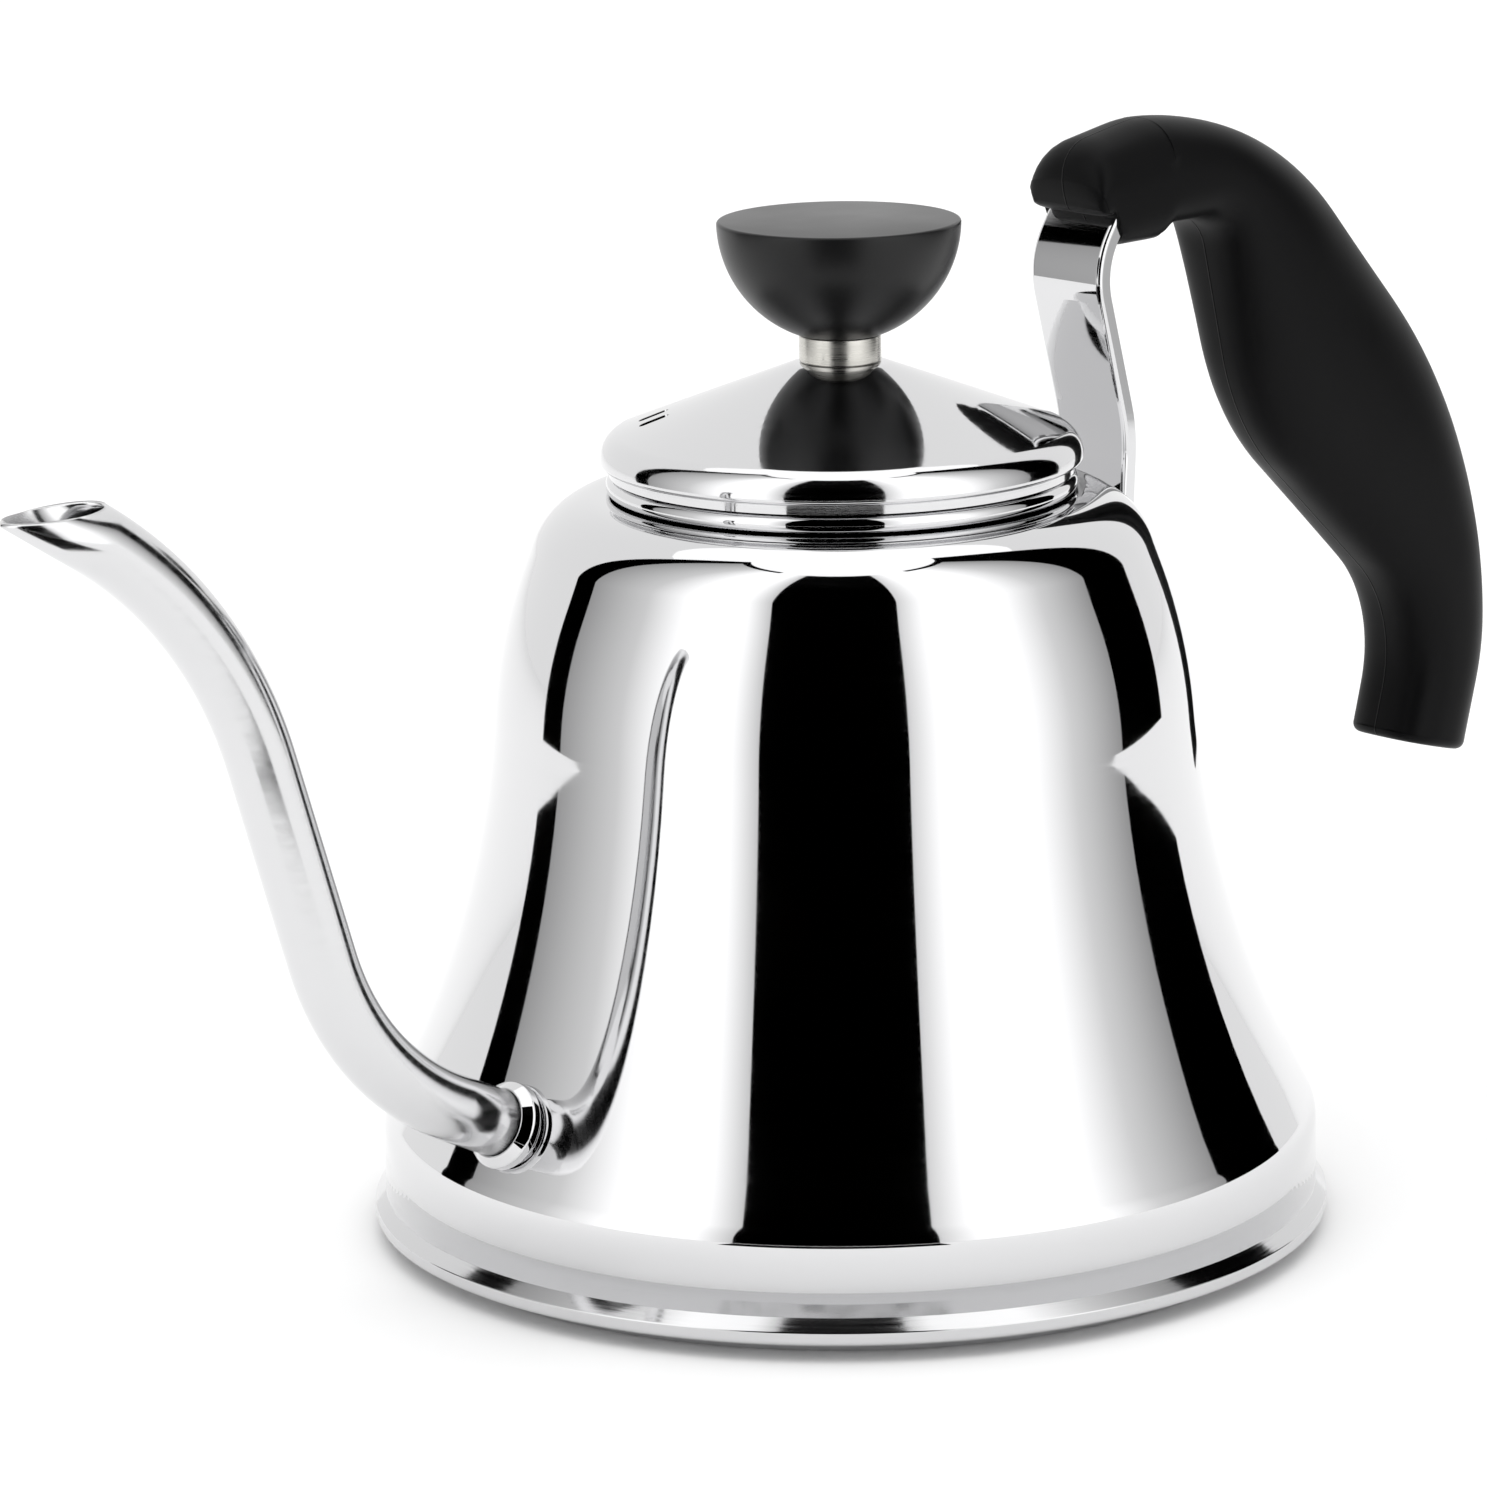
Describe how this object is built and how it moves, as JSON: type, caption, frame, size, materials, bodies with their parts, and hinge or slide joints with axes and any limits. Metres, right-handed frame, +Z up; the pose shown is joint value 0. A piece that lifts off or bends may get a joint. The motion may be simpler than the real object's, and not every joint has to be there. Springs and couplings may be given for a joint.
{
  "type": "gooseneck kettle",
  "caption": "Stovetop gooseneck pour-over kettle: mirror-polished bell-shaped body, thin bent spout, lift-off lid with a half-ball knob and a black moulded handle on a steel bracket.",
  "frame": {"origin": "middle of the base, on the surface that the kettle stands on", "axes": "+Z up along the body's axis, -X towards the spout's mouth, +X towards the handle; XZ is the plane of symmetry"},
  "size_m": [0.2967, 0.1494, 0.1669],
  "materials": {
    "mirror_steel": "mirror-polished stainless steel",
    "satin_steel": "fine circular brush",
    "nickel": "brushed nickel",
    "black_moulding": "soft matte phenolic moulding",
    "spreader_aluminium": "as rolled",
    "insert_brass": "turned",
    "zinc_screw": "zinc plated"
  },
  "bodies": {
    "kettle": {"body_shell": "mirror_steel", "mouth_ring": "mirror_steel", "vessel_floor": "satin_steel", "heat_spreader": "spreader_aluminium", "base_cap": "satin_steel", "spout_tube": "mirror_steel", "spout_collar": "mirror_steel", "handle_bracket": "mirror_steel", "handle_grip": "black_moulding", "handle_screw": "zinc_screw", "handle_washer": "zinc_screw", "handle_insert": "insert_brass"},
    "lid": {"lid_shell": "mirror_steel", "lid_skirt": "satin_steel", "knob_ferrule": "nickel", "lid_knob": "black_moulding", "knob_insert": "insert_brass", "knob_screw": "zinc_screw", "knob_washer": "zinc_screw", "knob_lock_washer": "zinc_screw"}
  },
  "joints": [
    {"name": "lid_lift", "type": "slide", "parent": "kettle", "child": "lid", "axis": [0, 0, 1], "range_m": [0, 0.08]}
  ]
}
